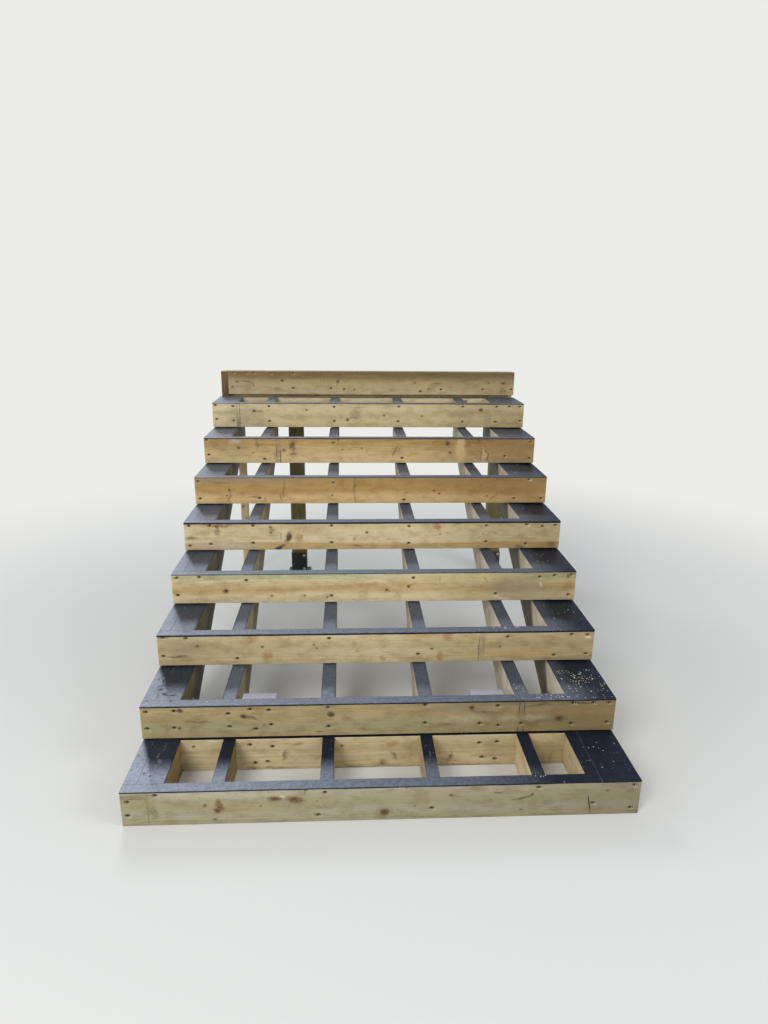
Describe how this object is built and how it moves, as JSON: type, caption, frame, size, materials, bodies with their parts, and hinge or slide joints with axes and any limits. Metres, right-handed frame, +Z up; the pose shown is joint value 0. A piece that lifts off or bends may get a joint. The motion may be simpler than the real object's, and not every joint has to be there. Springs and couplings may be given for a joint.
{
  "type": "wooden deck stairs",
  "caption": "Open framed straight flight of timber deck stairs: sawtooth stringers on a foot box, riser boards and taped bearers ready for treads, and a rim board on posts at the top.",
  "frame": {"origin": "centre of the bounding box, on the ground", "axes": "+X to the right as one climbs the flight, +Y from the foot box towards the deck, +Z up"},
  "size_m": [1.9, 2.5558, 1.39],
  "materials": {
    "riser_timber": "planed, pressure treated softwood with knots",
    "frame_timber": "planed, pressure treated softwood, sawn notches",
    "post_timber": "planed, greenish treated softwood",
    "stained_timber": "brown stained board end",
    "joist_tape": "satin bitumen tape, dusty",
    "shoe_steel": "black powder coat",
    "screw_steel": "bronze coated screws, sunk and dark",
    "bolt_steel": "zinc plated"
  },
  "bodies": {
    "root": {"riser_board_1": "riser_timber", "riser_board_2": "riser_timber", "riser_board_3": "riser_timber", "riser_board_4": "riser_timber", "riser_board_5": "riser_timber", "riser_board_6": "riser_timber", "riser_board_7": "riser_timber", "riser_board_8": "riser_timber", "box_back_board": "frame_timber", "box_joists_left": "frame_timber", "box_joists_middle": "frame_timber", "box_joists_right": "frame_timber", "ground_stake_left": "post_timber", "ground_stake_right": "post_timber", "post_left": "post_timber", "post_right": "post_timber", "stringer_left_1": "frame_timber", "stringer_left_2": "frame_timber", "stringer_left_3": "frame_timber", "stringer_middle_1": "frame_timber", "stringer_middle_2": "frame_timber", "stringer_middle_3": "frame_timber", "stringer_middle_4": "frame_timber", "stringer_right_1": "frame_timber", "stringer_right_2": "frame_timber", "stringer_right_3": "frame_timber", "stringer_right_4": "frame_timber", "ledger_leg": "frame_timber", "ledger_board": "riser_timber", "deck_rim_front": "riser_timber", "deck_rim_inner": "riser_timber", "deck_rim_end": "stained_timber", "post_shoe_left": "shoe_steel", "post_shoe_right": "shoe_steel", "joist_tape_1": "joist_tape", "joist_tape_2": "joist_tape", "joist_tape_3": "joist_tape", "joist_tape_4": "joist_tape", "joist_tape_5": "joist_tape", "joist_tape_6": "joist_tape", "joist_tape_7": "joist_tape", "joist_tape_8": "joist_tape"}
  },
  "joints": []
}
